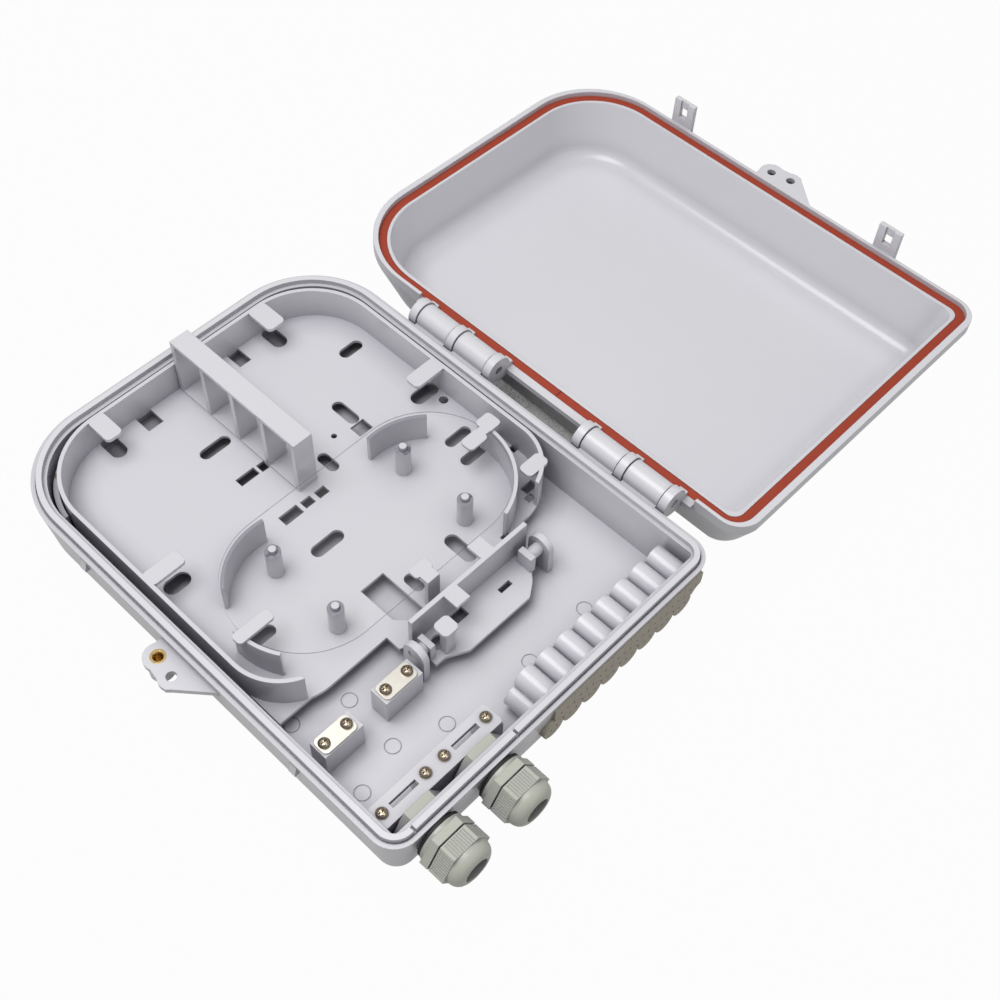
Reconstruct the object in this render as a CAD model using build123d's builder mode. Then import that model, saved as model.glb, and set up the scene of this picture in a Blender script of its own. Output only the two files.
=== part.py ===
"""Outdoor fibre distribution wall box, lid opened flat about its hinge.

Frame: millimetres, +Z away from the wall, origin at the centre of the back face.
X runs from the latch side to the hinge side, Y from the gland end to the far end.
Every piece is drawn where it sits in the shown pose, with the lid swung open.
"""

import os
from math import cos, radians, sin, sqrt

from build123d import *

os.makedirs("parts", exist_ok=True)

# driving sizes of the base
RIM_Z = 31.2              # ledge the lid lands on
HALF_X = 109.5            # half width of the rim
HALF_Y = 146.5            # half length of the rim
R_FAR = 50.0              # plan radius of the two far corners
R_NEAR = 13.5             # plan radius of the two gland-end corners
DRAFT_IN = 3.75           # how far the outer wall leans in at the back
INNER_X = 101.4           # inner wall at the rim, across
INNER_FAR = 138.2         # inner wall at the rim, far end
INNER_NEAR = -138.0       # inner wall at the rim, gland end
INNER_LEAN = 0.8
FLOOR_Z = 2.6
SKIN = 2.2                # thickness of the outer skin
TUB_WALL = 1.8
WEB_Z = 27.5              # underside of the bridge between skin and tub

# sealing tongue and groove
TONGUE_OUT = 3.0          # ledge width outside the tongue
TONGUE_W = 3.0
TONGUE_H = 2.9
GROOVE_GAP = 1.0          # play each side of the tongue
LID_GAP = 0.1             # lid rim above the ledge when shut
SEAL_GAP = 0.3            # tongue tip to gasket when shut
GASKET_H = 3.0

# hinge
AXIS_X = 118.3
AXIS_Z = 31.3
OPEN_DEG = 181.5
DISC_R = 8.2
DISC_T = 5.0
BARREL_R = 7.4
PIN_R = 2.4
RUN_FIT = 0.06
SIDE_GAP = 0.6
DISCS_A = (69.0, 41.0, 13.0)
DISCS_B = (-51.5, -80.5, -109.5)

# lid
LID_DEPTH = 43.0
LID_BAND = 7.0            # upright band at the lid rim
LID_DRAFT = 14.0          # lean of the lid wall over its depth
LID_LEAN_IN = 8.5         # lean of the wall of its hollow
LID_OVER = 1.5            # extra length over the far end
LID_LONG = 2.0            # extra length over the gland end
LID_LIP = 1.2             # inner lip beside the groove
LIP_RISE = 0.3            # lip above the gasket face
LID_SHELL = 3.6
CROWN_R = 14.0
CROWN_IN = 9.0            # radius inside the crown
TABS_Y = (72.0, -81.0)
TAB_W = 15.0
TAB_T = 3.0
TAB_DROP = 16.5
TAB_GAP = 0.35
HOOK_W = 4.4
HOOK_OUT = 1.1            # reach of the base hooks

# splice tray
TRAY_X0, TRAY_X1 = -97.0, 100.0
TRAY_FAR = 136.8
TRAY_NEAR = -57.0
TRAY_Z = 12.5             # top of the tray plate
TRAY_T = 2.0
TRAY_TOP = 32.3
TRAY_WALL = 2.2
PIVOT_Y = -76.5
PIVOT_Z = 19.5
SHAFT_R = 3.4
COVER_Z = 31.0            # underside of the clear cover
COVER_T = 0.9
CLIP_Z = 32.2             # underside of the clips over the cover

# corner plate beside the tray
CORNER_C = (-60.4, 97.2)
CORNER_R = 39.4
CORNER_Z = 22.0
CORNER_SCREW = (-86.5, 124.3)

# cable glands and drop ports
GLANDS_X = (-83.7, -45.0)
GLAND_Z = 18.0
GLAND_AF = 26.0
GLAND_THREAD_R = 10.8
PORTS = 8
PORT_X0 = -0.9
PORT_PITCH = 13.4
PORT_TOP_Z = 20.6
PORT_LOW_Z = 11.3
PORT_R = 6.6
STRIP_TOP = 27.0          # top of the rubber face strip
STRIP_Y = -142.9          # floor of the pocket behind the strip
PORT_BORE = 4.4

PORTS_AT = [
    (PORT_X0 + shift + i * PORT_PITCH, row_z)
    for row_z, shift in ((PORT_LOW_Z, -PORT_PITCH / 2), (PORT_TOP_Z, 0.0))
    for i in range(PORTS)
]

# lock lug on the latch side
LUG_Z = 25.5
LUG_T = 3.0
INSERT_AT = (-116.2, 5.8)
HOLE_AT = (-118.5, -6.9)
INSERT_R = 3.9
HOLE_R = 2.7

SCREW_HEAD_R = 3.0


def plan(z, half_x, y_near, y_far, r_near, r_far):
    """Rounded outline with large far corners and small gland-end corners."""
    with BuildSketch(Plane.XY.offset(z)) as outline:
        with Locations((0, (y_near + y_far) / 2)):
            Rectangle(2 * half_x, y_far - y_near)
        corners = outline.vertices().sort_by(Axis.Y)
        fillet(corners[-2:], r_far)
        fillet(outline.vertices().group_by(Axis.Y)[0], r_near)
    return outline.sketch


def ring(z, out, width, wide_near=0.0):
    """Flat ring that follows the rim, set in by out, width wide, wider at the gland end."""
    near = -HALF_Y + out
    far = HALF_Y - out
    outer = plan(z, HALF_X - out, near - wide_near, far, R_NEAR - out, R_FAR - out)
    inner = plan(
        z,
        HALF_X - out - width,
        near + width,
        far - width,
        max(R_NEAR - out - width, 1.0),
        R_FAR - out - width,
    )
    return outer - inner


def slot_cut(z, cx, cy, length, width, angle=0.0):
    """Round-ended slot outline at a height."""
    with BuildSketch(Plane.XY.offset(z)) as outline:
        with Locations((cx, cy)):
            SlotOverall(length, width, rotation=angle)
    return outline.sketch


def block(x0, x1, y0, y1, z0, z1, mode=Mode.ADD):
    """Plain block between six planes, in the active part."""
    with Locations(((x0 + x1) / 2, (y0 + y1) / 2, (z0 + z1) / 2)):
        Box(x1 - x0, y1 - y0, z1 - z0, mode=mode)


def rod_y(x, z, y0, y1, radius, mode=Mode.ADD):
    """Cylinder along Y."""
    with Locations(Location((x, (y0 + y1) / 2, z), (90, 0, 0))):
        Cylinder(radius, abs(y1 - y0), mode=mode)


def rod_x(y, z, x0, x1, radius, mode=Mode.ADD):
    """Cylinder along X."""
    with Locations(Location(((x0 + x1) / 2, y, z), (0, 90, 0))):
        Cylinder(radius, abs(x1 - x0), mode=mode)


def rod_z(x, y, z0, z1, radius, mode=Mode.ADD):
    """Cylinder along Z."""
    with Locations((x, y, (z0 + z1) / 2)):
        Cylinder(radius, z1 - z0, mode=mode)


def hexagon_y(x, z, y0, y1, across):
    """Hexagonal prism along Y with flats above and below."""
    with BuildSketch(Plane.XZ.offset(-y1)) as outline:
        with Locations((x, z)):
            RegularPolygon(across / sqrt(3), 6, rotation=0)
    return outline.sketch, y1 - y0


def barrel_spans(discs):
    """Lengths along Y that the base barrels fill between three lid discs."""
    half = DISC_T / 2 + SIDE_GAP
    return [(discs[1] + half, discs[0] - half), (discs[2] + half, discs[1] - half)]


# lock lug outline, shared by the base and the lid
def lug_outline(z, grow=0.0):
    """Plan of the two-lobed lug with its sloping edge."""
    with BuildSketch(Plane.XY.offset(z)) as outline:
        with Locations(INSERT_AT):
            Circle(7.5 + grow)
        with Locations(HOLE_AT):
            Circle(6.8 + grow)
        with BuildLine():
            Polyline(
                (-107.0, 12.5),
                (-113.0, 12.6),
                (-123.2, 3.0),
                (-125.0, -10.0),
                (-122.5, -12.6),
                (-107.0, -31.0),
                close=True,
            )
        make_face()
    return outline.sketch


def scallops(y, grow):
    """Outline of the rubber face strip: two rows of round ends and a fill above."""
    with BuildSketch(Plane.XZ.offset(-y)) as outline:
        with Locations(*PORTS_AT):
            Circle(PORT_R + grow)
        width = PORTS * PORT_PITCH - 0.1 + 2 * grow
        height = STRIP_TOP + grow - PORT_TOP_Z
        with Locations((PORT_X0 + (PORTS - 1) * PORT_PITCH / 2, PORT_TOP_Z + height / 2)):
            Rectangle(width, height)
    return outline.sketch


def arc_band(z, cx, cy, r_in, r_out, start, end):
    """Part of a flat ring between two angles."""
    def at(radius, angle):
        return (cx + radius * cos(radians(angle)), cy + radius * sin(radians(angle)))

    middle = (start + end) / 2
    with BuildSketch(Plane.XY.offset(z)) as outline:
        with BuildLine():
            ThreePointArc(at(r_out, start), at(r_out, middle), at(r_out, end))
            Line(at(r_out, end), at(r_in, end))
            ThreePointArc(at(r_in, end), at(r_in, middle), at(r_in, start))
            Line(at(r_in, start), at(r_out, start))
        make_face()
    return outline.sketch


def rounded_pad(x0, x1, y0, y1, z, radius):
    """Round-cornered rectangle at a height."""
    with BuildSketch(Plane.XY.offset(z)) as outline:
        with Locations(((x0 + x1) / 2, (y0 + y1) / 2)):
            RectangleRounded(x1 - x0, y1 - y0, radius)
    return outline.sketch


def corner_crescent(z, trim=0.0):
    """Sliver left between the tray corner and the housing corner."""
    with BuildSketch(Plane.XY.offset(z)) as outline:
        with Locations(CORNER_C):
            Circle(CORNER_R - trim)
        with Locations((TRAY_X0 + 43.0, TRAY_FAR - 43.0)):
            Circle(43.0 + 0.7 + trim, mode=Mode.SUBTRACT)
        with Locations((CORNER_C[0] + 96.5, 0.0)):
            Rectangle(200.0, 500.0, mode=Mode.SUBTRACT)
        with Locations((-100.0, CORNER_C[1] - 96.5)):
            Rectangle(200.0, 200.0, mode=Mode.SUBTRACT)
    return outline.sketch


# base housing
with BuildPart() as base_housing:
    back = plan(
        0, HALF_X - DRAFT_IN, -HALF_Y + DRAFT_IN, HALF_Y - DRAFT_IN,
        R_NEAR - DRAFT_IN, R_FAR - DRAFT_IN,
    )
    loft([back, plan(RIM_Z, HALF_X, -HALF_Y, HALF_Y, R_NEAR, R_FAR)])
    fillet(base_housing.edges().group_by(Axis.Z)[0], 2.4)
    # relief between the outer skin and the tub, open at the back
    lean = DRAFT_IN * (1 - WEB_Z / RIM_Z)
    loft(
        [
            plan(
                0, HALF_X - DRAFT_IN - SKIN, -HALF_Y + DRAFT_IN + SKIN,
                HALF_Y - DRAFT_IN - SKIN, R_NEAR - DRAFT_IN - SKIN, R_FAR - DRAFT_IN - SKIN,
            ),
            plan(
                WEB_Z, HALF_X - lean - SKIN, -HALF_Y + lean + SKIN,
                HALF_Y - lean - SKIN, R_NEAR - lean - SKIN, R_FAR - lean - SKIN,
            ),
        ],
        mode=Mode.SUBTRACT,
    )
    tub_x = INNER_X - INNER_LEAN + TUB_WALL
    tub_far = INNER_FAR - INNER_LEAN + TUB_WALL
    tub_near = INNER_NEAR - TUB_WALL
    extrude(plan(0, tub_x, tub_near, tub_far, 6.0, R_FAR - 8.0), amount=WEB_Z + 1)
    # cross ribs that tie the tub to the skin
    for y in range(-120, 100, 40):
        block(-HALF_X + DRAFT_IN + 1, -tub_x + 1, y - 1, y + 1, 0.0, WEB_Z + 1)
        block(tub_x - 1, HALF_X - DRAFT_IN - 1, y - 1, y + 1, 0.0, WEB_Z + 1)
    for x in (-60, -20, 20, 60):
        block(x - 1, x + 1, tub_far - 1, HALF_Y - DRAFT_IN - 1, 0.0, WEB_Z + 1)
        block(x - 1, x + 1, -HALF_Y + DRAFT_IN + 1, tub_near + 1, 0.0, WEB_Z + 1)
    # tub hollow
    loft(
        [
            plan(
                FLOOR_Z, INNER_X - INNER_LEAN, INNER_NEAR,
                INNER_FAR - INNER_LEAN, 1.8, R_FAR - 9.4,
            ),
            plan(RIM_Z + 1, INNER_X, INNER_NEAR, INNER_FAR, 2.2, R_FAR - 8.6),
        ],
        mode=Mode.SUBTRACT,
    )
    # sealing tongue with a fine relief at its foot
    extrude(ring(RIM_Z - 0.5, TONGUE_OUT, TONGUE_W), amount=TONGUE_H + 0.5)
    extrude(ring(RIM_Z, TONGUE_OUT - 0.8, 0.8), amount=-1.2, mode=Mode.SUBTRACT)
    for x in (-94.0, -30.0):
        block(x - 0.7, x + 0.7, -HALF_Y + 2, -HALF_Y + 6.2, RIM_Z - 0.6, RIM_Z + 4, Mode.SUBTRACT)
    # hinge barrels and the shelf that carries them
    for y0, y1 in barrel_spans(DISCS_A) + barrel_spans(DISCS_B):
        rod_y(AXIS_X, AXIS_Z, y0, y1, BARREL_R)
        block(HALF_X - 1.2, AXIS_X, y0, y1, AXIS_Z - BARREL_R, RIM_Z)
        rod_y(AXIS_X, AXIS_Z, y0 - 1, y1 + 1, PIN_R + RUN_FIT, Mode.SUBTRACT)
    # snap hooks under the latch tabs
    for y in TABS_Y:
        with BuildSketch(Plane.XZ.offset(-(y + HOOK_W / 2))):
            with BuildLine():
                Polyline(
                    (-HALF_X + 2, 27.0), (-HALF_X + 0.4, 27.0), (-HALF_X - HOOK_OUT, 21.6),
                    (-HALF_X - HOOK_OUT, 20.6), (-HALF_X + 2, 20.6), close=True,
                )
            make_face()
        extrude(amount=HOOK_W)
    # blocks for the strength-member clamps
    for x0, x1 in ((-95.0, -71.5), (-57.0, -33.5)):
        block(x0, x1, -86.2, -75.4, FLOOR_Z - 0.5, 20.4)
    # supports of the cable tie bar
    block(-101.0, -27.0, -132.3, -119.8, FLOOR_Z - 0.5, 23.9)
    for gx in GLANDS_X:
        block(gx - 9.5, gx + 9.5, -134, -118, FLOOR_Z + 6.0, 25.0, Mode.SUBTRACT)
    # drop port tubes in two staggered rows, then their bores through the wall
    with BuildSketch(Plane.XZ.offset(120.7)):
        with Locations(*PORTS_AT):
            Circle(PORT_R)
        with Locations(((PORTS_AT[0][0] + PORTS_AT[-1][0]) / 2, (FLOOR_Z + PORT_TOP_Z - 1.5) / 2)):
            Rectangle(PORTS_AT[-1][0] - PORTS_AT[0][0] - 9.0, PORT_TOP_Z - 1.5 - FLOOR_Z + 0.6)
        with Locations(((PORTS_AT[0][0] + PORTS_AT[-1][0]) / 2, 5.3)):
            Rectangle(PORTS_AT[-1][0] - PORTS_AT[0][0] + 2.0, 6.6)
    extrude(amount=20.5)
    # plate and pocket for the rubber face strip
    extrude(scallops(-138.5, 1.2), amount=-138.5 - STRIP_Y)
    extrude(scallops(STRIP_Y, 0.15), amount=8.0, mode=Mode.SUBTRACT)
    with BuildSketch(Plane.XZ.offset(119.0)):
        with Locations(*PORTS_AT):
            Circle(PORT_BORE)
    extrude(amount=30.0, mode=Mode.SUBTRACT)
    # gland bores
    for gx in GLANDS_X:
        rod_y(gx, GLAND_Z, -HALF_Y - 2, INNER_NEAR + 2, GLAND_THREAD_R + 0.3, Mode.SUBTRACT)
    # arch-topped pivot brackets of the splice tray
    for x0, x1 in ((-30.2, -26.4), (57.0, 60.6)):
        block(x0, x1, PIVOT_Y - 7.0, PIVOT_Y + 7.0, FLOOR_Z - 0.5, PIVOT_Z)
        rod_x(PIVOT_Y, PIVOT_Z, x0, x1, 7.0)
        rod_x(PIVOT_Y, PIVOT_Z, x0 - 1, x1 + 1, SHAFT_R + RUN_FIT, Mode.SUBTRACT)
    # tray rests on the floor, one at each far corner and two along the sides
    for x, y in ((-78.0, 70.0), (82.0, 70.0), (0.0, 120.0), (-60.0, -30.0), (70.0, -30.0)):
        rod_z(x, y, FLOOR_Z - 0.5, TRAY_Z - TRAY_T - 0.3, 4.0)
    # column under the corner plate, between the tray and the far latch-side corner
    extrude(corner_crescent(FLOOR_Z - 0.5), amount=CORNER_Z - FLOOR_Z + 0.5)
    # shallow ejector marks on the floor
    for x, y in (
        (-90, -55), (-62, -65), (-64, -97), (-38, -107), (-90, -104), (14, -112), (55, -111),
    ):
        with BuildSketch(Plane.XY.offset(FLOOR_Z)):
            with Locations((x, y)):
                Circle(4.2)
                Circle(3.7, mode=Mode.SUBTRACT)
        extrude(amount=-0.4, mode=Mode.SUBTRACT)
base_housing.part.label = "base_housing"
export_step(base_housing.part, "parts/base_housing.step")

# lock lug with its insert boss, moulded against the wall of the housing
with BuildPart() as lock_lug:
    extrude(lug_outline(LUG_Z), amount=-LUG_T)
    rod_z(*INSERT_AT, LUG_Z - 14.0, LUG_Z - LUG_T + 0.5, 6.2)
    rod_z(*INSERT_AT, LUG_Z - 12.0, LUG_Z + 1, INSERT_R, Mode.SUBTRACT)
    rod_z(*HOLE_AT, LUG_Z - LUG_T - 1, LUG_Z + 1, HOLE_R, Mode.SUBTRACT)
    wall = [
        plan(
            0, HALF_X - DRAFT_IN, -HALF_Y + DRAFT_IN, HALF_Y - DRAFT_IN,
            R_NEAR - DRAFT_IN, R_FAR - DRAFT_IN,
        ),
        plan(RIM_Z, HALF_X, -HALF_Y, HALF_Y, R_NEAR, R_FAR),
    ]
    loft(wall, mode=Mode.SUBTRACT)
lock_lug.part.label = "lock_lug"
export_step(lock_lug.part, "parts/lock_lug.step")

# hinge pins
for name, discs in (("hinge_pin_a", DISCS_A), ("hinge_pin_b", DISCS_B)):
    with BuildPart() as pin:
        rod_y(AXIS_X, AXIS_Z, discs[2] - 2.2, discs[0] + 2.2, PIN_R)
        chamfer(pin.edges(), 0.4)
    pin.part.label = name
    export_step(pin.part, f"parts/{name}.step")

# threaded insert in the lock lug
with BuildPart() as lock_insert:
    rod_z(*INSERT_AT, LUG_Z - 11.5, LUG_Z, INSERT_R)
    rod_z(*INSERT_AT, LUG_Z - 11.0, LUG_Z + 1, 2.2, Mode.SUBTRACT)
    chamfer(lock_insert.edges().group_by(Axis.Z)[-1].sort_by(SortBy.RADIUS)[0], 0.6)
lock_insert.part.label = "lock_insert"
export_step(lock_insert.part, "parts/lock_insert.step")

# lid, drawn shut and then swung open
LID_Z = RIM_Z + LID_GAP
LID_NEAR = -HALF_Y - LID_LONG - 0.5
LID_FAR = HALF_Y + LID_OVER
LID_ZERO = LID_Z + TONGUE_H - LID_GAP + SEAL_GAP   # gasket face
GROOVE_OUT = TONGUE_OUT - GROOVE_GAP
GROOVE_W = TONGUE_W + 2 * GROOVE_GAP
GROOVE_WIDE = 0.8         # extra groove width at the gland end
open_lid = Location((AXIS_X, 0, AXIS_Z)) * Location((0, 0, 0), (0, OPEN_DEG, 0))
open_lid = open_lid * Location((-AXIS_X, 0, -AXIS_Z))

with BuildPart() as lid:
    top_z = LID_Z + LID_DEPTH
    loft(
        [
            plan(LID_Z + LID_BAND, HALF_X, LID_NEAR, LID_FAR, R_NEAR + 1, R_FAR),
            plan(
                top_z, HALF_X - LID_DRAFT, LID_NEAR + LID_DRAFT, LID_FAR - LID_DRAFT + 2,
                R_NEAR + 2, R_FAR - 6,
            ),
        ]
    )
    fillet(lid.edges().group_by(Axis.Z)[-1], CROWN_R)
    extrude(plan(LID_Z, HALF_X, LID_NEAR, LID_FAR, R_NEAR + 1, R_FAR), amount=LID_BAND)
    # hinge-side band that carries the discs, hollowed round the base barrels
    block(HALF_X - 3, HALF_X + 2.8, -118.0, 80.0, LID_Z, LID_Z + 6.5)
    block(HALF_X - GROOVE_OUT - 0.1, HALF_X + 4, -118.0, 80.0, LID_Z - 1, LID_ZERO, Mode.SUBTRACT)
    for y0, y1 in barrel_spans(DISCS_A) + barrel_spans(DISCS_B):
        rod_y(AXIS_X, AXIS_Z, y0 - SIDE_GAP, y1 + SIDE_GAP, BARREL_R + 0.6, Mode.SUBTRACT)
    for y in DISCS_A + DISCS_B:
        rod_y(AXIS_X, AXIS_Z, y - DISC_T / 2, y + DISC_T / 2, DISC_R)
        block(HALF_X - 3, AXIS_X, y - DISC_T / 2, y + DISC_T / 2, LID_Z, AXIS_Z + DISC_R)
        rod_y(AXIS_X, AXIS_Z, y - 5, y + 5, PIN_R + RUN_FIT, Mode.SUBTRACT)
    # latch tabs with windows over the base hooks
    for y in TABS_Y:
        with BuildSketch(Plane.YZ.offset(-HALF_X - TAB_GAP)):
            with Locations((y, LID_Z + (8.0 - TAB_DROP) / 2)):
                Rectangle(TAB_W, TAB_DROP + 8.0)
            with Locations((y, LID_Z - 8.1)):
                Rectangle(HOOK_W + 1.1, 6.6, mode=Mode.SUBTRACT)
        extrude(amount=-TAB_T)
        block(-HALF_X - TAB_GAP - 0.1, -HALF_X + 4, y - TAB_W / 2, y + TAB_W / 2, LID_Z, LID_Z + 8)
        # the bar under the window is thinned on its inner face to pass the hook
        block(
            -HALF_X - TAB_GAP - 1.0, -HALF_X - TAB_GAP + 1, y - HOOK_W / 2 - 0.5,
            y + HOOK_W / 2 + 0.5, LID_Z - TAB_DROP - 1, LID_Z - 8, Mode.SUBTRACT,
        )
    # lock lug over the one on the base, level with the rim and dished above its plate
    extrude(lug_outline(LID_Z), amount=11.0)
    with BuildSketch(Plane.XY.offset(LID_Z + LUG_T)):
        with Locations(INSERT_AT):
            Circle(6.2)
        with Locations(HOLE_AT):
            Circle(5.4)
    extrude(amount=14.0, mode=Mode.SUBTRACT)
    rod_z(*INSERT_AT, LID_Z - 1, LID_Z + 6, 2.6, Mode.SUBTRACT)
    rod_z(*HOLE_AT, LID_Z - 1, LID_Z + 6, HOLE_R, Mode.SUBTRACT)
    # groove for the gasket
    groove_top = LID_ZERO + GASKET_H
    groove = ring(LID_Z, GROOVE_OUT, GROOVE_W, GROOVE_WIDE)
    extrude(groove, amount=groove_top - LID_Z, mode=Mode.SUBTRACT)
    low_lip = ring(LID_Z, GROOVE_OUT + 1, GROOVE_W + LID_LIP + 2)
    extrude(low_lip, amount=LID_ZERO - LIP_RISE - LID_Z, mode=Mode.SUBTRACT)
    # hollow of the lid with a generous inner radius
    lip = GROOVE_OUT + GROOVE_W + LID_LIP
    with BuildPart(mode=Mode.PRIVATE) as lid_core:
        loft(
            [
                plan(LID_Z - 1, HALF_X - lip, -HALF_Y + lip, HALF_Y - lip, 7.0, R_FAR - lip),
                plan(
                    top_z - LID_SHELL, HALF_X - lip - LID_LEAN_IN, -HALF_Y + lip + LID_LEAN_IN,
                    HALF_Y - lip - LID_LEAN_IN + 2.5, 10.0, R_FAR - lip - 5.0,
                ),
            ]
        )
        fillet(lid_core.edges().group_by(Axis.Z)[-1], CROWN_IN)
    add(lid_core.part, mode=Mode.SUBTRACT)
lid_open = lid.part.moved(open_lid)
lid_open.label = "lid"
export_step(lid_open, "parts/lid.step")

# gasket in the lid groove, with its butt joint
with BuildPart() as lid_gasket:
    extrude(ring(LID_ZERO, GROOVE_OUT + 0.05, GROOVE_W - 0.1, GROOVE_WIDE), amount=GASKET_H)
    block(100.0, 110.0, -21.15, -20.85, LID_Z, LID_Z + 10, Mode.SUBTRACT)
gasket_open = lid_gasket.part.moved(open_lid)
gasket_open.label = "lid_gasket"
export_step(gasket_open, "parts/lid_gasket.step")


# splice tray
def tray_plan(z, inset=0.0):
    """Tray outline: rounded far corners, wide arcs toward the gland end."""
    with BuildSketch(Plane.XY.offset(z)) as outline:
        with Locations(((TRAY_X0 + TRAY_X1) / 2, (TRAY_FAR + TRAY_NEAR) / 2)):
            Rectangle(TRAY_X1 - TRAY_X0 - 2 * inset, TRAY_FAR - TRAY_NEAR - 2 * inset)
        fillet(outline.vertices().group_by(Axis.Y)[-1], 43.0 - inset)
        fillet(outline.vertices().group_by(Axis.Y)[0], 31.0 - inset)
    return outline.sketch


TRAY_BOT = TRAY_Z - TRAY_T
WALL_H = TRAY_TOP - TRAY_BOT
# centre, length, width, angle of the round-ended floor slots
FLOOR_SLOTS = (
    (83.0, 90.0, 15.0, 7.0, 0),
    (-14.0, 90.0, 19.0, 7.0, 0),
    (21.5, 41.0, 14.0, 6.5, 90),
    (50.4, 59.0, 18.5, 7.0, 90),
    (-13.0, 3.5, 20.0, 7.5, 0),
    (81.7, 4.8, 17.0, 6.5, 0),
    (78.7, -9.5, 16.5, 6.5, 0),
    (32.4, -46.0, 20.0, 8.0, 90),
    (1.7, -44.0, 12.0, 6.5, 90),
    (-71.0, -13.9, 15.0, 7.0, 0),
    (58.7, 126.5, 17.0, 9.0, 90),
    (-51.0, 128.0, 17.0, 9.0, 90),
    (-81.0, 38.5, 15.0, 9.0, 0),
    (90.0, 38.6, 18.0, 9.0, 0),
)
# centre and size of the square-cornered floor holes
FLOOR_HOLES = (
    (49.5, 45.4, 9.3, 8.0),
    (-14.4, 63.5, 12.0, 5.4),
    (-4.3, 63.0, 5.0, 5.5),
    (-14.4, 29.5, 12.0, 6.5),
    (-3.0, 29.5, 6.5, 5.2),
    (6.3, 29.2, 6.6, 5.2),
    (96.0, -9.5, 3.0, 4.0),
    (96.4, -21.7, 3.0, 4.0),
    (84.4, -44.6, 8.0, 5.0),
    (79.7, -49.6, 5.0, 4.0),
    (53.5, -57.0, 5.0, 2.6),
    (31.7, -77.7, 8.0, 3.0),
    (4.2, -73.0, 8.0, 6.0),
)
# root and reach of the tabs that hold fibre down at the wall tops
WALL_TABS = (
    (49.7, 61.2, 117.0, 136.0),
    (-58.0, -48.0, 118.0, 136.0),
    (-96.0, -75.0, 33.6, 42.8),
    (78.5, 99.6, 32.0, 41.8),
    (78.2, 93.0, -50.0, -41.4),
)
COVER_C = (1.2, -13.5)
COVER_POSTS = ((46.0, 9.3), (46.0, -35.5), (-42.3, 9.0), (-42.3, -36.2))

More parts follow.
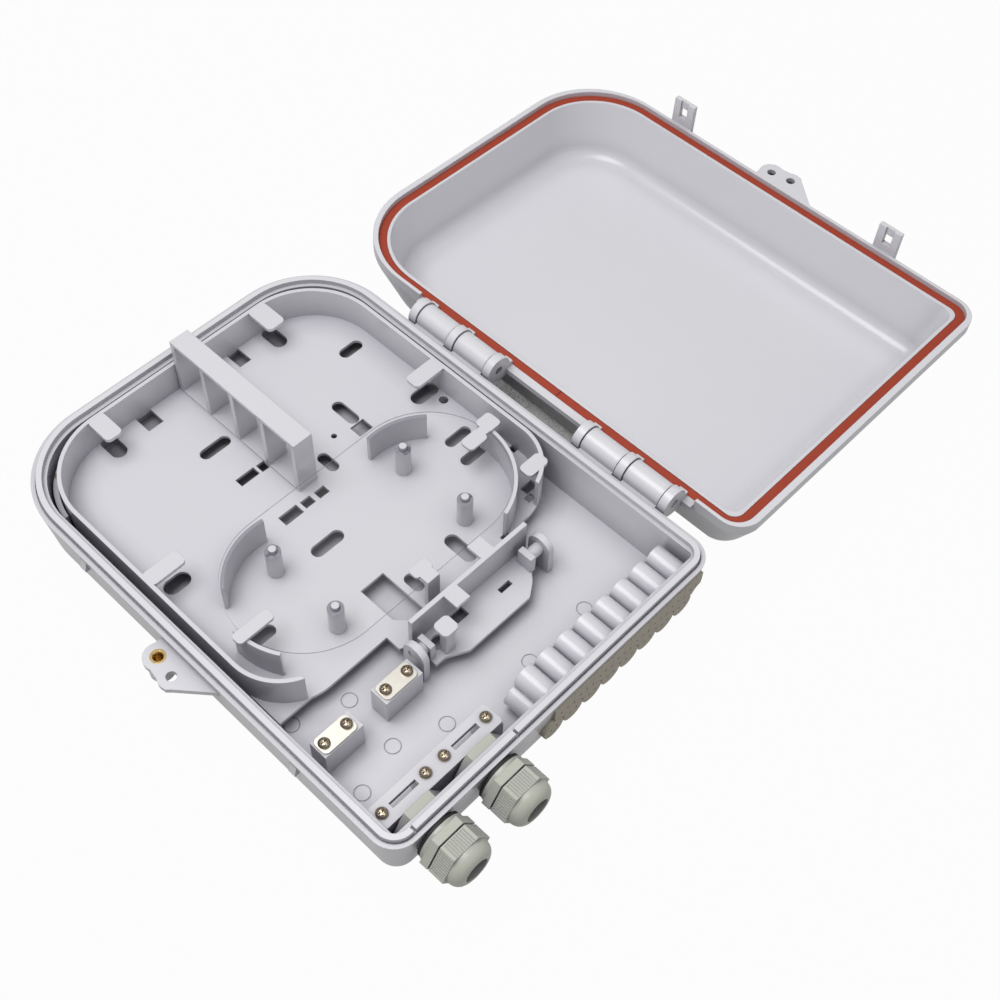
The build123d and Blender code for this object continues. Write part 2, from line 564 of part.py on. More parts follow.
with BuildPart() as splice_tray:
    extrude(tray_plan(TRAY_BOT), amount=TRAY_T)
    block(TRAY_X0 + 1.0, -40.0, -55.2, -26.0, TRAY_BOT, TRAY_Z)
    block(TRAY_X0 - 1, -29.5, -60.0, -55.2, TRAY_BOT - 1, TRAY_Z + 1, Mode.SUBTRACT)
    block(66.0, TRAY_X1 + 1, -60.0, -56.0, TRAY_BOT - 1, TRAY_Z + 1, Mode.SUBTRACT)
    block(-29.5, 66.0, -60.0, -55.0, TRAY_BOT, TRAY_Z)
    # strip under the fence and the flip leaf beyond it
    with BuildSketch(Plane.XY.offset(TRAY_BOT)):
        with BuildLine():
            Polyline(
                (-29.5, -58.0), (-29.5, -66.0), (-23.3, -68.5), (-23.3, -84.6),
                (-17.3, -84.6), (-6.0, -90.5), (36.0, -90.7), (43.5, -85.5),
                (48.6, -80.0), (48.8, -68.5), (57.0, -66.5), (66.0, -58.0), close=True,
            )
        make_face()
    extrude(amount=TRAY_T)
    # wall all round, open toward the glands between the two arcs
    extrude(tray_plan(TRAY_BOT) - tray_plan(TRAY_BOT, TRAY_WALL), amount=WALL_H)
    block(-78.0, 78.5, -60.0, -50.0, TRAY_Z, TRAY_TOP + 1, Mode.SUBTRACT)
    # fence along the flip edge
    block(-23.4, 56.3, -68.6, -66.1, TRAY_Z - 1, TRAY_TOP)
    block(26.0, 35.0, -66.2, -56.5, TRAY_TOP - 2.0, TRAY_TOP)
    block(-2.0, 7.0, -77.5, -68.5, TRAY_TOP - 2.0, TRAY_TOP)
    # post with a square rounded head
    block(-15.8, -9.8, -84.2, -79.8, TRAY_Z - 1, TRAY_TOP - 1)
    extrude(rounded_pad(-17.5, -8.0, -85.6, -76.1, TRAY_TOP - 2.0, 2.6), amount=2.0)
    # hold-down tabs at the top of the wall
    for x0, x1, y0, y1 in WALL_TABS:
        extrude(rounded_pad(x0, x1, y0, y1, TRAY_TOP - 2.0, 2.8), amount=2.0)
    # notches through the far wall and the plate
    for x0, x1 in ((31.0, 39.0), (-31.8, -22.0)):
        block(x0, x1, 123.0, 134.5, TRAY_BOT - 1, TRAY_Z + 1, Mode.SUBTRACT)
    for x, y, length, width, angle in FLOOR_SLOTS:
        extrude(slot_cut(TRAY_Z + 0.1, x, y, length, width, angle), amount=-3, mode=Mode.SUBTRACT)
    for x, y, width, height in FLOOR_HOLES:
        block(x - width / 2, x + width / 2, y - height / 2, y + height / 2, 9, 13, Mode.SUBTRACT)
    with BuildSketch(Plane.XY.offset(TRAY_Z + 0.1)):
        with BuildLine():
            Polyline((-20.5, -29), (-5.4, -29), (-5.4, -59), (-14, -59), (-20.5, -52), close=True)
        make_face()
    extrude(amount=-3, mode=Mode.SUBTRACT)
    # half-moon beside the post
    with BuildSketch(Plane.XY.offset(TRAY_Z + 0.1)):
        with Locations((-13.1, -77.1)):
            Circle(4.5)
        with Locations((-13.1, -83.0)):
            Rectangle(14.0, 6.6, mode=Mode.SUBTRACT)
    extrude(amount=-3, mode=Mode.SUBTRACT)
    for x, y in ((94.0, 28.0), (35.3, 51.6)):
        rod_z(x, y, 9, 13, 2.6 if x > 90 else 1.6, Mode.SUBTRACT)
    # posts that carry the clear cover
    for x, y in COVER_POSTS:
        rod_z(x, y, TRAY_Z - 0.5, COVER_Z, 4.2)
        rod_z(x, y, COVER_Z - 1, COVER_Z + 2.6, 2.0)
    # guide walls: arcs inside the cover edge, and taller ones outside it
    right = COVER_C[0] + 41.0
    left = COVER_C[0] - 41.0
    for cx, r_in, start, end, top in (
        (right, 39.6, 47.0, 96.0, 30.7), (left, 39.6, 81.0, 145.0, 30.7),
        (right, 43.2, -75.0, 7.0, CLIP_Z), (left, 43.2, 178.0, 212.0, CLIP_Z),
    ):
        band = arc_band(TRAY_Z - 0.5, cx, COVER_C[1], r_in, r_in + 2.0, start, end)
        extrude(band, amount=top - TRAY_Z + 0.5)
    # clips that reach over the cover edge
    block(-3.0, 5.0, -58.9, -56.5, TRAY_Z - 0.5, CLIP_Z + 0.2)
    for x0, x1, y0, y1, radius in (
        (82.6, 93.0, -16.0, -6.0, 2.5), (68.2, 81.2, -18.0, -9.5, 2.5),
        (78.0, 86.0, -15.6, -10.0, 0.5), (-88.0, -66.0, -21.0, -14.0, 2.4),
        (-3.0, 5.0, -58.9, -52.0, 0.5), (-5.0, 6.6, -53.4, -46.5, 2.0),
    ):
        extrude(rounded_pad(x0, x1, y0, y1, CLIP_Z, radius), amount=1.6)
    # pivot shafts in the base brackets, with the arms that carry them
    rod_x(PIVOT_Y, PIVOT_Z, 49.5, 60.2, SHAFT_R)
    block(46.4, 50.0, PIVOT_Y - 4.5, PIVOT_Y + 4.5, TRAY_Z - 1, PIVOT_Z + 3.8)
    rod_x(PIVOT_Y, PIVOT_Z, -29.8, -22.0, SHAFT_R)
    block(-23.3, -20.0, PIVOT_Y - 4.5, PIVOT_Y + 4.5, TRAY_Z - 1, PIVOT_Z + 3.8)
splice_tray.part.label = "splice_tray"
export_step(splice_tray.part, "parts/splice_tray.step")

# adapter holder: a hollow bar with four windows for couplers
HOLDER_X0, HOLDER_X1 = -1.7, 10.3
HOLDER_Y0, HOLDER_Y1 = 37.0, 134.0
HOLDER_TOP = 51.0
WINDOWS = 4
BAY = (HOLDER_Y1 - HOLDER_Y0 - 3.0) / WINDOWS
with BuildPart() as adapter_holder:
    block(HOLDER_X0, HOLDER_X1, HOLDER_Y0, HOLDER_Y1, TRAY_Z, HOLDER_TOP)
    for i in range(WINDOWS):
        y0 = HOLDER_Y0 + 3.0 + i * BAY
        block(HOLDER_X0 - 1, HOLDER_X1 + 1, y0, y0 + BAY - 3.0, TRAY_Z + 1, HOLDER_TOP - 2, Mode.SUBTRACT)
    for i in range(1, WINDOWS):
        y = HOLDER_Y0 + 1.5 + i * BAY
        rod_x(y + 3.4, 34.0, HOLDER_X1 - 2.2, HOLDER_X1 + 1, 0.9, Mode.SUBTRACT)
adapter_holder.part.label = "adapter_holder"
export_step(adapter_holder.part, "parts/adapter_holder.step")

# clear cover over the splice area
with BuildPart() as splice_cover:
    extrude(slot_cut(COVER_Z, COVER_C[0], COVER_C[1], 167.0, 85.0), amount=COVER_T)
    for x, y in COVER_POSTS:
        rod_z(x, y, COVER_Z - 1, COVER_Z + 3, 2.3, Mode.SUBTRACT)
splice_cover.part.label = "splice_cover"
export_step(splice_cover.part, "parts/splice_cover.step")


def pan_screw(x, y, z, shank_r, length):
    """Pan-head screw with a cross recess, standing on a face at z."""
    rod_z(x, y, z - length, z + 0.4, shank_r)
    with BuildSketch(Plane((x, y, z), x_dir=(1, 0, 0), z_dir=(0, -1, 0))) as head:
        with BuildLine():
            Line((0, 0), (SCREW_HEAD_R, 0))
            Line((SCREW_HEAD_R, 0), (SCREW_HEAD_R, 0.9))
            ThreePointArc((SCREW_HEAD_R, 0.9), (SCREW_HEAD_R * 0.72, 2.0), (0, 2.4))
            Line((0, 2.4), (0, 0))
        make_face()
    revolve(head.sketch, axis=Axis((x, y, z), (0, 0, 1)))
    block(x - 1.9, x + 1.9, y - 0.4, y + 0.4, z + 1.1, z + 4, Mode.SUBTRACT)
    block(x - 0.4, x + 0.4, y - 1.9, y + 1.9, z + 1.1, z + 4, Mode.SUBTRACT)


# clamp plates on their blocks
CLAMP_Z = 20.4
PLATE_T = 1.2
for name, x0, x1 in (("clamp_plate_1", -94.2, -73.6), ("clamp_plate_2", -55.8, -35.2)):
    with BuildPart() as plate:
        with BuildSketch(Plane.XY.offset(CLAMP_Z)):
            with Locations(((x0 + x1) / 2, -80.8)):
                RectangleRounded(x1 - x0, 9.8, 2.6)
            with Locations((x0 + 3.4, -80.8), (x1 - 3.4, -80.8)):
                Circle(1.7, mode=Mode.SUBTRACT)
        extrude(amount=PLATE_T)
    plate.part.label = name
    export_step(plate.part, f"parts/{name}.step")

CLAMP_SCREWS = ((-90.8, -80.8), (-77.0, -80.8), (-52.4, -80.8), (-38.6, -80.8))
with BuildPart() as clamp_screws:
    for x, y in CLAMP_SCREWS:
        pan_screw(x, y, CLAMP_Z + PLATE_T, 1.6, PLATE_T)
clamp_screws.part.label = "clamp_screws"
export_step(clamp_screws.part, "parts/clamp_screws.step")

# tie bar with slots in front of the glands
BAR_Z = 24.0
BAR_T = 3.0
BAR_SCREWS = ((-97.0, -125.6), (-70.2, -125.6), (-58.6, -125.6), (-31.8, -125.6))
with BuildPart() as tie_bar:
    block(-101.0, -27.0, -132.4, -119.6, BAR_Z, BAR_Z + BAR_T)
    for x in GLANDS_X:
        block(x - 8.0, x + 8.0, -127.2, -124.2, BAR_Z - 1, BAR_Z + BAR_T + 1, Mode.SUBTRACT)
    for x, y in BAR_SCREWS:
        rod_z(x, y, BAR_Z - 1, BAR_Z + BAR_T + 1, 1.7, Mode.SUBTRACT)
    fillet(tie_bar.edges().filter_by(Axis.Z).group_by(Axis.X)[-1], 2.0)
tie_bar.part.label = "tie_bar"
export_step(tie_bar.part, "parts/tie_bar.step")

with BuildPart() as bar_screws:
    for x, y in BAR_SCREWS:
        pan_screw(x, y, BAR_Z + BAR_T, 1.6, BAR_T)
bar_screws.part.label = "bar_screws"
export_step(bar_screws.part, "parts/bar_screws.step")

# cable glands
for number, gx in enumerate(GLANDS_X, start=1):
    wall_out = -HALF_Y
    with BuildPart() as seal_washer:
        rod_y(gx, GLAND_Z, wall_out - 2.0, wall_out - 0.2, 12.6)
        rod_y(gx, GLAND_Z, wall_out - 3, wall_out, GLAND_THREAD_R + 0.1, Mode.SUBTRACT)
    with BuildPart() as gland_body:
        rod_y(gx, GLAND_Z, wall_out - 5.0, wall_out - 2.0, 12.9)
        face, length = hexagon_y(gx, GLAND_Z, wall_out - 8.6, wall_out - 4.0, GLAND_AF)
        extrude(face, amount=length)
        rod_y(gx, GLAND_Z, wall_out - 14.5, INNER_NEAR + 5.0, GLAND_THREAD_R)
        rod_y(gx, GLAND_Z, wall_out - 20, -129, 6.8, Mode.SUBTRACT)
        rod_y(gx, GLAND_Z, wall_out - 15, wall_out - 9, 9.3, Mode.SUBTRACT)
    with BuildPart() as locknut:
        face, length = hexagon_y(gx, GLAND_Z, INNER_NEAR, INNER_NEAR + 4.6, GLAND_AF)
        extrude(face, amount=length)
        rod_y(gx, GLAND_Z, INNER_NEAR - 1, INNER_NEAR + 6, GLAND_THREAD_R + 0.05, Mode.SUBTRACT)
    with BuildPart() as cable_seal:
        rod_y(gx, GLAND_Z, wall_out - 18.5, wall_out - 9.2, 8.9)
        rod_y(gx, GLAND_Z, wall_out - 20, wall_out - 8, 6.3, Mode.SUBTRACT)
    with BuildPart() as dome_nut:
        face, length = hexagon_y(gx, GLAND_Z, wall_out - 18.0, wall_out - 9.4, GLAND_AF - 0.4)
        extrude(face, amount=length)
        with BuildSketch(Plane((gx, 0, GLAND_Z), x_dir=(1, 0, 0), z_dir=(0, 0, 1))):
            with BuildLine():
                Line((0, wall_out - 17.5), (12.6, wall_out - 17.5))
                Line((12.6, wall_out - 17.5), (12.2, wall_out - 20.0))
                ThreePointArc(
                    (12.2, wall_out - 20.0), (10.4, wall_out - 23.2), (8.0, wall_out - 24.5)
                )
                Line((8.0, wall_out - 24.5), (0, wall_out - 24.5))
                Line((0, wall_out - 24.5), (0, wall_out - 17.5))
            make_face()
        revolve(axis=Axis((gx, 0, GLAND_Z), (0, 1, 0)))
        rod_y(gx, GLAND_Z, wall_out - 19.5, wall_out - 9, GLAND_THREAD_R + 0.08, Mode.SUBTRACT)
        rod_y(gx, GLAND_Z, wall_out - 26, wall_out - 9, 6.6, Mode.SUBTRACT)
        # grip ribs on the flats
        for k in range(6):
            turn = 30 + 60 * k
            for j in range(-4, 5):
                across = GLAND_AF / 2 - 0.2
                cx = gx + across * cos(radians(turn)) - 1.35 * j * sin(radians(turn))
                cz = GLAND_Z + across * sin(radians(turn)) + 1.35 * j * cos(radians(turn))
                with Locations(Location((cx, wall_out - 13.9, cz), (0, -turn, 0))):
                    Box(0.5, 7.4, 0.6, mode=Mode.SUBTRACT)
    for piece, label in (
        (seal_washer, "washer"), (gland_body, "body"), (locknut, "locknut"),
        (cable_seal, "seal"), (dome_nut, "dome"),
    ):
        piece.part.label = f"gland_{number}_{label}"
        export_step(piece.part, f"parts/gland_{number}_{label}.step")

# rubber grommets in the drop ports, whose faces join up into a scalloped strip
for name, row_z, shift in (
    ("grommets_lower", PORT_LOW_Z, -PORT_PITCH / 2), ("grommets_upper", PORT_TOP_Z, 0.0),
):
    with BuildPart() as grommets:
        for i in range(PORTS):
            px = PORT_X0 + shift + i * PORT_PITCH
            with BuildSketch(Plane.XZ.offset(-STRIP_Y)) as face:
                with Locations((px, row_z)):
                    Circle(PORT_R)
                if row_z == PORT_TOP_Z:
                    with Locations((px, (row_z + STRIP_TOP) / 2)):
                        Rectangle(PORT_PITCH - 0.1, STRIP_TOP - row_z)
                    with Locations((px - PORT_PITCH / 2, PORT_LOW_Z), (px + PORT_PITCH / 2, PORT_LOW_Z)):
                        Circle(PORT_R + 0.1, mode=Mode.SUBTRACT)
            extrude(face.sketch, amount=4.0)
            rod_y(px, row_z, STRIP_Y - 0.5, -132.0, PORT_BORE - 0.05)
            for side in (-2.1, 2.1):
                rod_y(px + side, row_z, -HALF_Y - 2, -131.0, 0.7, Mode.SUBTRACT)
    grommets.part.label = name
    export_step(grommets.part, f"parts/{name}.step")

# corner plate with its small screw
with BuildPart() as corner_plate:
    extrude(corner_crescent(CORNER_Z, 0.1), amount=2.0)
    rod_z(*CORNER_SCREW, CORNER_Z - 1, CORNER_Z + 3, 0.75, Mode.SUBTRACT)
corner_plate.part.label = "corner_plate"
export_step(corner_plate.part, "parts/corner_plate.step")

with BuildPart() as corner_screw:
    rod_z(*CORNER_SCREW, CORNER_Z, CORNER_Z + 2.2, 0.7)
    rod_z(*CORNER_SCREW, CORNER_Z + 2.0, CORNER_Z + 3.0, 1.5)
    block(
        CORNER_SCREW[0] - 1.1, CORNER_SCREW[0] + 1.1, CORNER_SCREW[1] - 0.25,
        CORNER_SCREW[1] + 0.25, CORNER_Z + 2.6, CORNER_Z + 4, Mode.SUBTRACT,
    )
corner_screw.part.label = "corner_screw"
export_step(corner_screw.part, "parts/corner_screw.step")
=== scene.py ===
"""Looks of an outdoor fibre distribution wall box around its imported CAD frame."""

from __future__ import annotations

import logging
from dataclasses import dataclass, field
from enum import Enum

import bpy
from mathutils import Matrix, Vector

LOG = logging.getLogger("wall_box")
Colour = tuple[float, float, float]
MIX_FACTOR, MIX_FIRST, MIX_SECOND = 0, 6, 7

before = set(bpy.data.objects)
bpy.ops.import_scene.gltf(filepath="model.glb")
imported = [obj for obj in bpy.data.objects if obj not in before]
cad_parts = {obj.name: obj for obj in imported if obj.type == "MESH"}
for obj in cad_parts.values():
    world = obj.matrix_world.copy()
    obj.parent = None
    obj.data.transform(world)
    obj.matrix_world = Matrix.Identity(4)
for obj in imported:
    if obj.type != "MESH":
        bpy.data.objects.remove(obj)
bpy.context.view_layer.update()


class Gloss(Enum):
    """How shiny a moulded surface came out of its tool."""

    SATIN = 0.42
    SEMI = 0.30


class Wire:
    """A node socket that takes part in plain arithmetic."""

    def __init__(self, tree: bpy.types.NodeTree, socket: bpy.types.NodeSocket) -> None:
        """Keep one output socket.

        Args:
            tree: The node tree that the socket is in.
            socket: The output socket.
        """
        self.tree = tree
        self.socket = socket

    def _math(self, operation: str, first: Wire | float, second: Wire | float) -> Wire:
        """Add one Math node.

        Args:
            operation: The Math node's operation.
            first: Left value.
            second: Right value.

        Returns:
            The node's output.
        """
        step = self.tree.nodes.new("ShaderNodeMath")
        step.operation = operation
        for slot, value in enumerate((first, second)):
            if isinstance(value, Wire):
                self.tree.links.new(value.socket, step.inputs[slot])
            else:
                step.inputs[slot].default_value = float(value)
        return Wire(self.tree, step.outputs[0])

    def __add__(self, other: Wire | float) -> Wire:
        """Sum of the wire and other."""
        return self._math("ADD", self, other)

    def __radd__(self, other: float) -> Wire:
        """Sum with the number first."""
        return self._math("ADD", other, self)

    def __sub__(self, other: Wire | float) -> Wire:
        """Difference of the wire and other."""
        return self._math("SUBTRACT", self, other)

    def __rsub__(self, other: float) -> Wire:
        """Difference with the number first."""
        return self._math("SUBTRACT", other, self)

    def __mul__(self, other: Wire | float) -> Wire:
        """Product of the wire and other."""
        return self._math("MULTIPLY", self, other)

    def __rmul__(self, other: float) -> Wire:
        """Product with the number first."""
        return self._math("MULTIPLY", other, self)

    def clamped(self) -> Wire:
        """Hold the Math node behind the wire between 0 and 1.

        Returns:
            The same wire.
        """
        self.socket.node.use_clamp = True
        return self


class Recipe:
    """One material under construction."""

    def __init__(self, name: str) -> None:
        """Start an empty node material.

        Args:
            name: Material name.
        """
        self.material = bpy.data.materials.new(name)
        self.material.use_nodes = True
        self.tree = self.material.node_tree
        self.tree.nodes.clear()
        self.out = self.tree.nodes.new("ShaderNodeOutputMaterial")

    def node(
        self, kind: str, settings: dict | None = None, output: str | int = 0, **inputs: object
    ) -> Wire:
        """Add any node.

        Args:
            kind: Node type without its ShaderNode prefix.
            settings: Attributes set before the inputs.
            output: Which output to hand back.
            **inputs: Values or wires, with underscores for spaces in socket names; i0, i1 and
                so on name a socket by its place.

        Returns:
            The chosen output.
        """
        made = self.tree.nodes.new("ShaderNode" + kind)
        for key, value in (settings or {}).items():
            setattr(made, key, value)
        for key, value in inputs.items():
            by_place = key[0] == "i" and key[1:].isdigit()
            socket = made.inputs[int(key[1:]) if by_place else key.replace("_", " ")]
            if isinstance(value, Wire):
                self.tree.links.new(value.socket, socket)
            elif isinstance(value, tuple) and socket.type == "RGBA":
                socket.default_value = (*value, 1.0)
            else:
                socket.default_value = value
        return Wire(self.tree, made.outputs[output])

    def grain(self, scale: float, detail: float = 2.0) -> Wire:
        """Noise in the object's own space.

        Args:
            scale: Repeats per metre.
            detail: Octaves.

        Returns:
            Noise from 0 to 1.
        """
        place = self.node("TexCoord", output="Object")
        return self.node("TexNoise", Vector=place, Scale=scale, Detail=detail)

    def blend(self, factor: Wire, first: Colour, second: Colour | Wire) -> Wire:
        """Mix two colours by a wire.

        Args:
            factor: Share of the second colour.
            first: Colour at 0.
            second: Colour at 1.

        Returns:
            The mixed colour.
        """
        mixed = self.tree.nodes.new("ShaderNodeMix")
        mixed.data_type = "RGBA"
        self.tree.links.new(factor.socket, mixed.inputs[MIX_FACTOR])
        mixed.inputs[MIX_FIRST].default_value = (*first, 1.0)
        if isinstance(second, Wire):
            self.tree.links.new(second.socket, mixed.inputs[MIX_SECOND])
        else:
            mixed.inputs[MIX_SECOND].default_value = (*second, 1.0)
        return Wire(self.tree, mixed.outputs[2])

    def hollow(self, reach: float, samples: int) -> Wire:
        """Shade that gathers in gaps and inside corners.

        Args:
            reach: How far a neighbour may stand, in metres.
            samples: Rays cast at each shaded point.

        Returns:
            1 in the open, falling to 0 in a gap.
        """
        settings = {"samples": samples}
        return self.node("AmbientOcclusion", settings, output="AO", Distance=reach)

    def skin(self, height: Wire, edge: float, samples: int, strength: float, rise: float) -> Wire:
        """Fine relief over softened edges.

        Args:
            height: Relief pattern.
            edge: Radius of the softened edges, in metres.
            samples: Rays cast for the softened edges.
            strength: Share of the relief that shows.
            rise: Height of the relief, in metres.

        Returns:
            The surface normal.
        """
        rounded = self.node("Bevel", {"samples": samples}, Radius=edge)
        return self.node("Bump", Strength=strength, Distance=rise, Height=height, Normal=rounded)

    def either(self, factor: Wire, first: Wire, second: Wire) -> Wire:
        """Mix two shaders by a wire.

        Args:
            factor: Share of the second shader.
            first: Shader at 0.
            second: Shader at 1.

        Returns:
            The mixed shader.
        """
        return self.node("MixShader", i0=factor, i1=first, i2=second)

    def finish(self, shader: Wire) -> bpy.types.Material:
        """Connect the shader to the output.

        Args:
            shader: Surface shader.

        Returns:
            The material.
        """
        self.tree.links.new(shader.socket, self.out.inputs["Surface"])
        return self.material


@dataclass(frozen=True)
class MouldedPlastic:
    """Injection-moulded plastic with faint flow shading, painted shade in gaps and inside corners,
    and softened edges.

    Lengths are in metres, and the two scales are repeats per metre.
    """

    name: str
    light: Colour
    deep: Colour
    gloss: Gloss = Gloss.SEMI
    # painted shade colour for gaps and inside corners
    painted_shade: Colour = (0.27, 0.26, 0.30)
    shade_reach: float = 0.018
    shade_samples: int = 3
    flow_scale: float = 9.0
    speck_scale: float = 1400.0
    flow_rough: float = 0.10
    speck_rough: float = 0.06
    edge: float = 0.0005
    edge_samples: int = 4
    relief: float = 0.10
    relief_rise: float = 0.00006
    coat: float = 0.20
    coat_rough: float = 0.12
    specular: float = 0.45

    def make(self) -> bpy.types.Material:
        """Build the material.

        Returns:
            The finished material.
        """
        mix = Recipe(self.name)
        flow = mix.grain(self.flow_scale, 3.0)
        speck = mix.grain(self.speck_scale)
        # painted shade: ambient occlusion darkens the base colour in gaps and inside corners
        opened = mix.hollow(self.shade_reach, self.shade_samples)
        colour = mix.blend(opened, self.painted_shade, mix.blend(flow, self.deep, self.light))
        rough = self.gloss.value + self.flow_rough * (flow - 0.5) + self.speck_rough * (speck - 0.5)
        skin = mix.skin(speck, self.edge, self.edge_samples, self.relief, self.relief_rise)
        return mix.finish(
            mix.node(
                "BsdfPrincipled", Base_Color=colour, Roughness=rough, Normal=skin,
                Coat_Weight=self.coat, Coat_Roughness=self.coat_rough,
                Specular_IOR_Level=self.specular,
            )
        )


@dataclass(frozen=True)
class MouldedRubber:
    """Matt rubber with a dusty bloom.

    Lengths are in metres, and the scale is repeats per metre.
    """

    name: str
    light: Colour
    deep: Colour
    rough: float = 0.62
    rough_swing: float = 0.12
    bloom_scale: float = 260.0
    edge: float = 0.0006
    edge_samples: int = 4
    relief: float = 0.25
    relief_rise: float = 0.0002
    specular: float = 0.35

    def make(self) -> bpy.types.Material:
        """Build the material.

        Returns:
            The finished material.
        """
        mix = Recipe(self.name)
        bloom = mix.grain(self.bloom_scale, 4.0)
        colour = mix.blend(bloom, self.deep, self.light)
        rough = self.rough + self.rough_swing * (bloom - 0.5)
        skin = mix.skin(bloom, self.edge, self.edge_samples, self.relief, self.relief_rise)
        return mix.finish(
            mix.node(
                "BsdfPrincipled", Base_Color=colour, Roughness=rough, Normal=skin,
                Specular_IOR_Level=self.specular,
            )
        )


@dataclass(frozen=True)
class PlatedMetal:
    """Plated or turned metal with fine scratches.

    Lengths are in metres, and the two scales are repeats per metre.
    """

    name: str
    light: Colour
    deep: Colour
    rough: float = 0.28
    rough_swing: float = 0.16
    rub_scale: float = 900.0
    tone_scale: float = 160.0
    edge: float = 0.0003
    edge_samples: int = 4
    relief: float = 0.15
    relief_rise: float = 0.00005

    def make(self) -> bpy.types.Material:
        """Build the material.

        Returns:
            The finished material.
        """
        mix = Recipe(self.name)
        rub = mix.grain(self.rub_scale, 3.0)
        tone = mix.grain(self.tone_scale)
        colour = mix.blend(tone, self.deep, self.light)
        rough = self.rough + self.rough_swing * (rub - 0.5)
        skin = mix.skin(rub, self.edge, self.edge_samples, self.relief, self.relief_rise)
        return mix.finish(
            mix.node(
                "BsdfPrincipled", Base_Color=colour, Metallic=1.0, Roughness=rough, Normal=skin
            )
        )


@dataclass(frozen=True)
class ClearSheet:
    """Thin clear moulding that shows mostly at its edges, where its upright faces carry painted
    shade.
    """

    name: str = "clear_cover"
    tint: Colour = (0.93, 0.93, 0.95)
    # painted shade colour for the upright edge faces
    edge_painted_shade: Colour = (0.30, 0.30, 0.36)
    haze_scale: float = 30.0
    rough: float = 0.08
    rough_haze: float = 0.05
    veil: float = 0.012
    edge_veil: float = 0.55
    index: float = 1.12

    def make(self) -> bpy.types.Material:
        """Build the material.

        Returns:
            The finished material.
        """
        mix = Recipe(self.name)
        haze = mix.grain(self.haze_scale)
        facing = mix.node("SeparateXYZ", output="Z", Vector=mix.node("TexCoord", output="Normal"))
        # painted shade: upright faces blend towards the darker edge colour, standing in for the
        # dark line a clear sheet shows edge-on
        upright = 1.0 - mix.node("Math", {"operation": "ABSOLUTE"}, i0=facing)
        return mix.finish(
            mix.node(
                "BsdfPrincipled", Base_Color=mix.blend(upright, self.tint, self.edge_painted_shade),
                Roughness=self.rough + self.rough_haze * haze,
                Alpha=self.veil + self.veil * haze + self.edge_veil * upright, IOR=self.index,
            )
        )


Finish = MouldedPlastic | MouldedRubber | PlatedMetal | ClearSheet


@dataclass(frozen=True)
class Camera:
    """The photograph's viewpoint, in the frame's metres."""

    place: Colour = (-0.25097, -0.32194, 0.62176)
    right: Colour = (0.69233, -0.72104, 0.02808)
    up: Colour = (0.58035, 0.57952, 0.57214)
    ahead: Colour = (0.42881, 0.37981, -0.81967)
    lens: float = 51.72
    sensor: float = 36.0
    clip_start: float = 0.01

    def build(self) -> None:
        """Create the camera and make it the scene's own."""
        data = bpy.data.cameras.new("view")
        data.lens = self.lens
        data.sensor_width = self.sensor
        data.clip_start = self.clip_start
        made = bpy.data.objects.new("view", data)
        bpy.context.collection.objects.link(made)
        turn = Matrix((self.right, self.up, tuple(-v for v in self.ahead))).transposed()
        made.matrix_world = Matrix.Translation(self.place) @ turn.to_4x4()
        bpy.context.scene.camera = made


@dataclass(frozen=True)
class Lamp:
    """One square area lamp that looks at the box."""

    name: str
    place: Colour
    size: float
    power: float
    target: Colour = (0.1, 0.0, 0.0)

    def build(self) -> None:
        """Create the lamp."""
        data = bpy.data.lights.new(self.name, "AREA")
        data.size = self.size
        data.energy = self.power
        made = bpy.data.objects.new(self.name, data)
        bpy.context.collection.objects.link(made)
        made.location = self.place
        aim = Vector(self.target) - Vector(self.place)
        made.rotation_euler = aim.to_track_quat("-Z", "Y").to_euler()


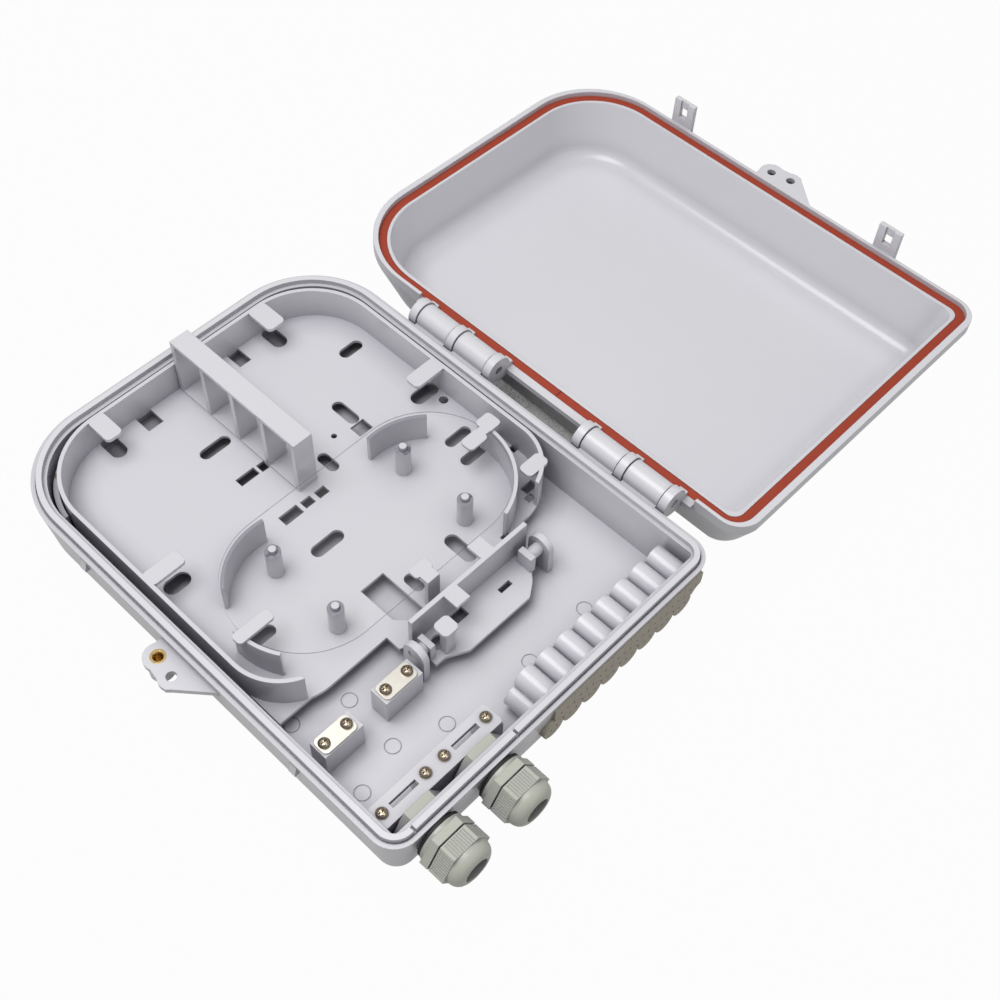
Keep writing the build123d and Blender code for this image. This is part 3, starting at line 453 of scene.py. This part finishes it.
@dataclass(frozen=True)
class Studio:
    """White floor, soft lamps and a plain world.

    The slot is the floor in the gap between the base and the open lid, where a shadow is painted;
    its sizes are in metres.
    """

    floor_z: float = -0.0185
    reach: float = 6.0
    paper: Colour = (0.30, 0.30, 0.30)
    glow_share: float = 0.97
    mirror_share: float = 0.5
    # painted shadow colour for the floor under the hinge gap
    slot_painted_shadow_colour: Colour = (0.05, 0.04, 0.045)
    slot_middle: float = 0.131
    slot_half_width: float = 0.019
    slot_row: float = -0.005
    slot_half_length: float = 0.050
    slot_reach: float = 0.05
    slot_rays: int = 8
    slot_open: float = 0.42
    slot_steepness: float = 8.0
    sky: float = 0.42
    lamps: tuple[Lamp, ...] = (
        Lamp("key_lamp", (-0.30, 0.15, 1.5), 1.0, 18.5),
        Lamp("fill_lamp", (0.5, -1.5, 0.7), 1.6, 2.6),
    )

    def _slot_share(self, mix: Recipe) -> Wire:
        """Find the floor that lies under the gap between base and open lid, where a shadow is
        painted.

        Args:
            mix: The floor material under construction.

        Returns:
            1 under the gap, 0 elsewhere.
        """
        place = mix.node("TexCoord", output="Object")
        compare = {"operation": "COMPARE"}
        across = mix.node("SeparateXYZ", output="X", Vector=place)
        along = mix.node("SeparateXYZ", output="Y", Vector=place)
        near = mix.node("Math", compare, i0=across, i1=self.slot_middle, i2=self.slot_half_width)
        level = mix.node("Math", compare, i0=along, i1=self.slot_row, i2=self.slot_half_length)
        return near * level

    def _floor_material(self) -> bpy.types.Material:
        """White to the camera and to mirrors, a pale grey elsewhere, with a painted shadow under
        the hinge.

        Returns:
            The floor material.
        """
        mix = Recipe("studio_floor")
        seen = mix.node("LightPath", output="Is Camera Ray")
        seen = seen + self.mirror_share * mix.node("LightPath", output="Is Glossy Ray")
        seen = seen + mix.node("LightPath", output="Is Transmission Ray")
        paper = mix.node("BsdfDiffuse", Color=self.paper)
        glow = mix.node("Emission", Color=(1.0, 1.0, 1.0), Strength=1.0)
        lit = mix.either((self.glow_share * seen).clamped(), paper, glow)
        # painted shadow: a near-black diffuse floor where ambient occlusion finds the gap closed in
        shadow = mix.node("BsdfDiffuse", Color=self.slot_painted_shadow_colour)
        opened = mix.hollow(self.slot_reach, self.slot_rays)
        closed = (self.slot_steepness * (self.slot_open - opened)).clamped()
        slot = mix.either(closed, lit, shadow)
        return mix.finish(mix.either(self._slot_share(mix), lit, slot))

    def _floor(self) -> None:
        """Lay the floor under the box."""
        half = self.reach
        mesh = bpy.data.meshes.new("floor")
        sides = ((-half, -half), (half, -half), (half, half), (-half, half))
        mesh.from_pydata([(x, y, self.floor_z) for x, y in sides], [], [(0, 1, 2, 3)])
        floor = bpy.data.objects.new("floor", mesh)
        bpy.context.collection.objects.link(floor)
        mesh.materials.append(self._floor_material())

    def _sky(self) -> None:
        """Set a plain world that is white to the camera and dimmer as a light."""
        world = bpy.data.worlds.new("studio_sky")
        bpy.context.scene.world = world
        world.use_nodes = True
        tree = world.node_tree
        back = tree.nodes["Background"]
        back.inputs["Color"].default_value = (1.0, 1.0, 1.0, 1.0)
        rays = tree.nodes.new("ShaderNodeLightPath")
        seen = Wire(tree, rays.outputs["Is Camera Ray"])
        strength = self.sky + (1.0 - self.sky) * seen
        tree.links.new(strength.socket, back.inputs["Strength"])

    def build(self) -> None:
        """Build the floor, lamps and world."""
        self._floor()
        for lamp in self.lamps:
            lamp.build()
        self._sky()


@dataclass
class Dresser:
    """Gives CAD nodes their finishes."""

    made: dict[str, bpy.types.Material] = field(default_factory=dict)

    def dress(self, finish: Finish, *nodes: str) -> None:
        """Put one finish on some nodes.

        Args:
            finish: The finish to make or reuse.
            *nodes: CAD node names.
        """
        material = self.made.get(finish.name) or finish.make()
        self.made[finish.name] = material
        for name in nodes:
            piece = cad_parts[name]
            if not piece.material_slots:
                piece.data.materials.append(material)
            for slot in piece.material_slots:
                slot.link = "OBJECT"
                slot.material = material
            LOG.info("%s wears %s", name, finish.name)


SHELL = MouldedPlastic("shell_plastic", (0.66, 0.658, 0.69), (0.63, 0.628, 0.665))
TRAY = MouldedPlastic("tray_plastic", (0.63, 0.628, 0.66), (0.60, 0.598, 0.635))
NYLON = MouldedPlastic("gland_nylon", (0.47, 0.48, 0.415), (0.43, 0.44, 0.38), Gloss.SATIN)
GASKET = MouldedRubber("gasket_rubber", (0.37, 0.052, 0.024), (0.30, 0.04, 0.018), 0.6)
GROMMET = MouldedRubber("grommet_rubber", (0.50, 0.45, 0.37), (0.44, 0.40, 0.33), 0.6)
SEAL = MouldedRubber("seal_rubber", (0.03, 0.03, 0.03), (0.02, 0.02, 0.02))
BRASS = PlatedMetal("insert_brass", (0.62, 0.44, 0.18), (0.50, 0.34, 0.13), 0.3)
STEEL = PlatedMetal("pin_steel", (0.55, 0.55, 0.55), (0.45, 0.45, 0.45))
NICKEL = PlatedMetal("plate_nickel", (0.72, 0.69, 0.62), (0.64, 0.61, 0.55), 0.38)
SCREW = PlatedMetal("screw_nickel", (0.50, 0.44, 0.35), (0.33, 0.27, 0.20), 0.2)


def main() -> None:
    """Dress every CAD node and set the stage."""
    logging.basicConfig(level=logging.INFO, format="%(name)s: %(message)s")
    bpy.context.scene.view_settings.view_transform = "Standard"
    dresser = Dresser()
    dresser.dress(SHELL, "base_housing", "lock_lug", "lid")
    dresser.dress(TRAY, "splice_tray", "adapter_holder", "tie_bar", "corner_plate")
    dresser.dress(ClearSheet(), "splice_cover")
    dresser.dress(GASKET, "lid_gasket")
    dresser.dress(GROMMET, "grommets_upper", "grommets_lower")
    for number in (1, 2):
        dresser.dress(NYLON, *(f"gland_{number}_{part}" for part in ("body", "locknut", "dome")))
        dresser.dress(SEAL, *(f"gland_{number}_{part}" for part in ("washer", "seal")))
    dresser.dress(BRASS, "lock_insert")
    dresser.dress(STEEL, "hinge_pin_a", "hinge_pin_b")
    dresser.dress(NICKEL, "clamp_plate_1", "clamp_plate_2")
    dresser.dress(SCREW, "clamp_screws", "bar_screws", "corner_screw")
    Camera().build()
    Studio().build()


if __name__ == "__main__":
    main()
